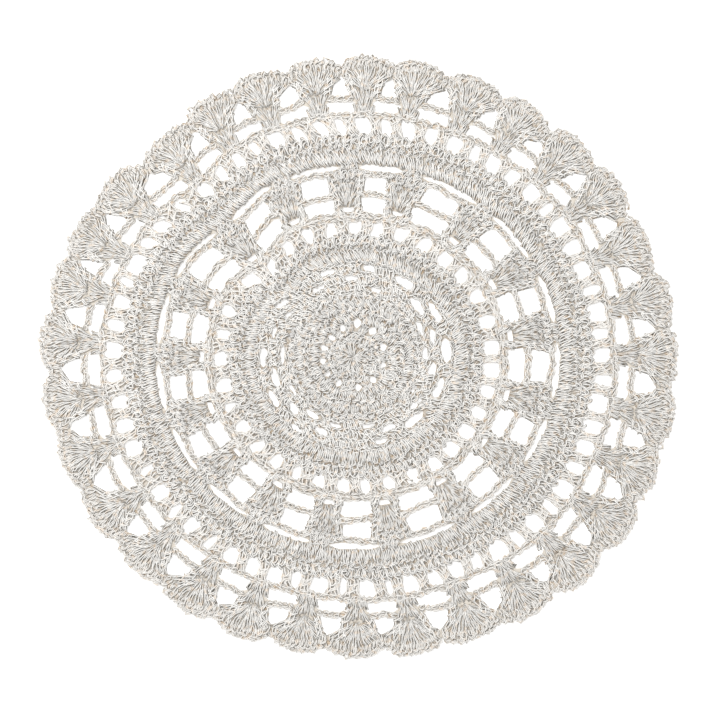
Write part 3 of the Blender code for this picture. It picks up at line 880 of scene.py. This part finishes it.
def mesh_round(name, holes, ends, rings):
    """Posts between holes given as (turn, width, lean), and the chain rounds above them."""
    holes = sorted(holes)
    low, high = ends
    feet, heads, wide = [], [], []
    for number, (turn, width, lean) in enumerate(holes):
        after, after_width, after_lean = holes[(number + 1) % len(holes)]
        solid = (after - turn) % 360.0 - (width + after_width) / 2.0
        posts = max(1, round(math.radians(solid) * low / WIDEST_POST))
        for place_in_row in range(posts):
            post = turn + width / 2.0 + solid * (place_in_row + 0.5) / posts
            foot_stray, head_stray = degrees_wide(POST_STRAY, low) * rng.normal(0.0, 1.0, 2)
            feet.append(place(low, post + foot_stray))
            heads.append(place(high, post + (lean + after_lean) / 2.0 + head_stray))
            wide.append(math.radians(solid / posts) * low * rng.uniform(*POST_SPREAD))
    strands = lay(MESH_STITCH, feet, heads, (np.array(wide), np.array(wide) * POST_FLARE))
    for ring in rings:
        line = place(ring.radius + rng.normal(0.0, WANDER, ring.count), even_turns(ring.count))
        strands += chain_round(line, ring.wide)
    return work(name, strands, OPEN_WORK_COTTON_LIGHTER_SHADE)


# Fans of the inner lace: stitches that spread from a narrow foot, in tiers
FOOT_RISE = 0.22       # share of a fan's height by which every other stitch comes out above the foot
FootStitch = namedtuple("FootStitch", "low low_off high high_off")     # off the middle in degrees
FAN_FOOT = FootStitch(83.6, 1.0, 91.4, 3.4), FootStitch(84.0, 2.4, 91.6, 5.0)
FAN_FOOT_WIDE = 2.8, 3.2
Spread = namedtuple("Spread", "stitch count low low_wide high high_wide bow")
FAN_HEART = Spread(FAN_STITCH, 7, 92.4, 7.8, 103.4, 19.0, 3.2)
FAN_HEAD = Spread(BAND_STITCH, 5, 101.0, 13.6, 111.0, 18.0, 1.6)
FAN_TOP = Spread(TOP_STITCH, 6, 109.6, 22.0, 114.4, 25.0, 1.2)
FAN_JOIN = Spread(TOP_STITCH, 3, 113.4, 10.5, 118.4, 10.5, 0.0)
Wings = namedtuple("Wings", "wide low low_wide high high_wide")
FAN_LOW_WINGS = Wings(3.8, 86.4, 15.6, 98.4, 16.4)
FAN_HIGH_WINGS = Wings(4.2, 97.6, 18.2, 110.2, 24.8)


def spread(turn, row):
    """Stitches that fan out about a turn from one width to another; bow lowers the outer heads."""
    share = shares(row.count)
    rise = FOOT_RISE * (row.high - row.low) * (np.arange(row.count) % 2)
    feet = place(row.low + rise, turn + share * degrees_wide(row.low_wide, row.low) / 2.0)
    heads = place(row.high - row.bow * share ** 2,
                  turn + share * degrees_wide(row.high_wide, row.high) / 2.0)
    return lay(row.stitch, feet, heads, (row.low_wide / row.count, row.high_wide / row.count))


def wings(turn, row):
    """The outermost stitch on each side of a fan or shell, which curls round and shows its wraps."""
    side = np.array((-1.0, 1.0))
    feet = place(row.low, turn + side * degrees_wide(row.low_wide - row.wide, row.low) / 2.0)
    heads = place(row.high, turn + side * degrees_wide(row.high_wide - row.wide, row.high) / 2.0)
    return lay(WING_STITCH, feet, heads, (row.wide, row.wide))


def fans():
    """The fans, each from its split foot up to the stitches that join it to the close band."""
    strands = []
    for turn in FAN_TURNS:
        for side in (-1.0, 1.0):
            feet = [place(each.low, turn + side * each.low_off) for each in FAN_FOOT]
            heads = [place(each.high, turn + side * each.high_off) for each in FAN_FOOT]
            strands += lay(FAN_STITCH, feet, heads, FAN_FOOT_WIDE)
        strands += wings(turn, FAN_LOW_WINGS)
        strands += spread(turn, FAN_HEART)
        strands += wings(turn, FAN_HIGH_WINGS)
        strands += spread(turn, FAN_HEAD)
        strands += spread(turn, FAN_TOP)
        strands += spread(turn + BAND_SLOT.shift, FAN_JOIN)
    return work("fans", strands)


# Chains that join the fans and the shells; taken is how much of the pitch the fan or shell fills
Bar = namedtuple("Bar", "radius taken count bow")
FAN_BARS = Bar(98.9, 16.4, 5, 0.0), Bar(112.3, 21.0, 6, 0.6)
SHELL_BARS = (Bar(158.4, 15.2, 5, 0.0),)


def bars():
    """Bars of chain from fan to fan and from shell to shell."""
    strands = []
    for turns, rows in ((FAN_TURNS, FAN_BARS), (SHELL_TURNS, SHELL_BARS)):
        for turn, pitch in between(turns):
            for row in rows:
                half = (pitch - degrees_wide(row.taken, row.radius)) / 2.0
                share = np.linspace(-1.0, 1.0, row.count + 1)
                tip, sag = rng.normal(0.0, BAR_STRAY, 2)
                radius = row.radius + tip * share + (row.bow + sag) * (1.0 - share ** 2)
                line = place(radius, turn + share * half)
                strands += chain(line + rng.normal(0.0, BAR_WANDER * WANDER, line.shape), CHAIN_WIDE)
    return work("joining_chains", strands, OPEN_WORK_COTTON_LIGHTER_SHADE)


# Shells of the rim, in tiers like the fans, inside a worked edge
SHELL_LOW_FOOT = Spread(FAN_STITCH, 5, 146.4, 8.8, 154.6, 14.8, 0.0)
SHELL_HEART = Spread(FAN_STITCH, 6, 152.6, 6.5, 161.8, 17.4, -3.0)
SHELL_WINGS = Wings(5.0, 159.6, 17.6, 173.4, 27.6)
SHELL_STITCHES = 11
SHELL_FOOT = namedtuple("ShellFoot", "low rise bow wide wide_at crowd")(163.2, 2.2, 0.8, 6.4, 163.0, 1.5)
SHELL_HEAD = namedtuple("ShellHead", "inset bow")(6.4, 2.4)     # under the foot of the worked edge
EDGE_STITCHES = 11
EDGE_FOOT = namedtuple("EdgeFoot", "share inset bow")(0.96, 7.8, 1.2)
EDGE_HEAD = namedtuple("EdgeHead", "share inset flare")(0.98, 0.7, 1.1)
EDGE_SLACK = 1.3       # how much more than elsewhere the hand's tension changes along the edge


def shell_feet():
    """The low tier of the shells."""
    strands = []
    for turn in SHELL_TURNS:
        strands += spread(turn, SHELL_LOW_FOOT)
        high = SHELL_HEART.high + rng.normal(0.0, HEART_STRAY)
        strands += spread(turn, SHELL_HEART._replace(high=high))
    return work("shell_feet", strands)


def apart(heads):
    """How far the heads of a row lie from each other."""
    return np.linalg.norm(np.diff(heads, axis=0), axis=1).mean()


def shells():
    """The high tier of the shells, up to the foot of the worked edge."""
    strands = []
    share = shares(SHELL_STITCHES)
    rise = SHELL_FOOT.rise * (np.arange(SHELL_STITCHES) % 2)
    for number, turn in enumerate(SHELL_TURNS):
        feet = place(SHELL_FOOT.low + SHELL_FOOT.bow * share ** 2 + rise,
                     turn + share * degrees_wide(SHELL_FOOT.wide, SHELL_FOOT.wide_at) / 2.0)
        heads = rim_at(number, share, SHELL_HEAD.inset + SHELL_HEAD.bow * share ** 2)
        strands += lay(FAN_STITCH, feet, heads, (SHELL_FOOT.crowd, apart(heads)))
        strands += wings(turn, SHELL_WINGS)
    return work("shells", strands)


def worked_edge():
    """The knobbly edge worked round the shells."""
    strands = []
    share = shares(EDGE_STITCHES)
    for number in range(len(SHELLS)):
        feet = rim_at(number, share * EDGE_FOOT.share, EDGE_FOOT.inset + EDGE_FOOT.bow * share ** 2)
        heads = rim_at(number, share * EDGE_HEAD.share, EDGE_HEAD.inset)
        wide = apart(heads)
        strands += lay(EDGE_STITCH, feet, heads, (wide, wide * EDGE_HEAD.flare), EDGE_SLACK * SLACK)
    return work("worked_edge", strands, OPEN_WORK_COTTON_LIGHTER_SHADE)


ground = inner_yarn()
made = [
    centre(), arches(), band("inner_band", INNER_BAND, INNER_TOPS),
    mesh_round("inner_mesh_round", inner_mesh_holes(), INNER_POST_ENDS, INNER_RINGS),
    fans(), bars(), band("outer_band", OUTER_BAND, OUTER_TOPS),
    mesh_round("outer_mesh_round", outer_mesh_holes(), OUTER_POST_ENDS, OUTER_RINGS),
    shell_feet(), shells(), worked_edge(),
]
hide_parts("placemat")


# Table top, light and camera
TABLE = 6.0            # metres across
TABLE_GLOW = 0.35      # light that it gives back beyond what falls on it, so that it shows white
FRAME_WIDE = 428.8     # mm of table that the picture takes in
VIEW_MIDDLE = (0.6, -2.1)
LENS = 100.0
SENSOR = 36.0
LAMP = namedtuple("Lamp", "across power place tilt")(1.2, 24.0, (-0.7, 0.8, 1.5), (-28.0, -22.0, 0.0))
STUDIO_LIGHT = 0.85
WHITE = (1.0, 1.0, 1.0, 1.0)


def table_top():
    """Plain pale card under the mat."""
    mesh = bpy.data.meshes.new("table_top")
    half = TABLE / 2.0
    corners = [(-half, -half, 0.0), (half, -half, 0.0), (half, half, 0.0), (-half, half, 0.0)]
    mesh.from_pydata(corners, [], [(0, 1, 2, 3)])
    top = put(bpy.data.objects.new("table_top", mesh))
    material, tree, shader = new_material("white_card")
    shader.inputs["Base Color"].default_value = hex_colour("F6F6F6")
    shader.inputs["Roughness"].default_value = 1.0
    shader.inputs["Emission Color"].default_value = WHITE
    shader.inputs["Emission Strength"].default_value = TABLE_GLOW
    top.data.materials.append(material)


def camera():
    """Straight above the mat, with a long lens."""
    eye = put(bpy.data.objects.new("camera", bpy.data.cameras.new("camera")))
    eye.data.lens = LENS
    eye.data.sensor_width = SENSOR
    eye.location = (VIEW_MIDDLE[0] * MM, VIEW_MIDDLE[1] * MM, FRAME_WIDE * MM * LENS / SENSOR)
    bpy.context.scene.camera = eye


def light():
    """Soft light from all round, and a broad lamp above to one side."""
    lamp = put(bpy.data.objects.new("softbox", bpy.data.lights.new("softbox", "AREA")))
    lamp.data.shape = "DISK"
    lamp.data.size = LAMP.across
    lamp.data.energy = LAMP.power
    lamp.location = LAMP.place
    lamp.rotation_euler = [math.radians(each) for each in LAMP.tilt]
    world = bpy.data.worlds.new("studio")
    bpy.context.scene.world = world
    world.use_nodes = True
    world.node_tree.nodes["Background"].inputs["Color"].default_value = WHITE
    world.node_tree.nodes["Background"].inputs["Strength"].default_value = STUDIO_LIGHT


table_top()
camera()
light()
bpy.context.scene.view_settings.view_transform = "Standard"
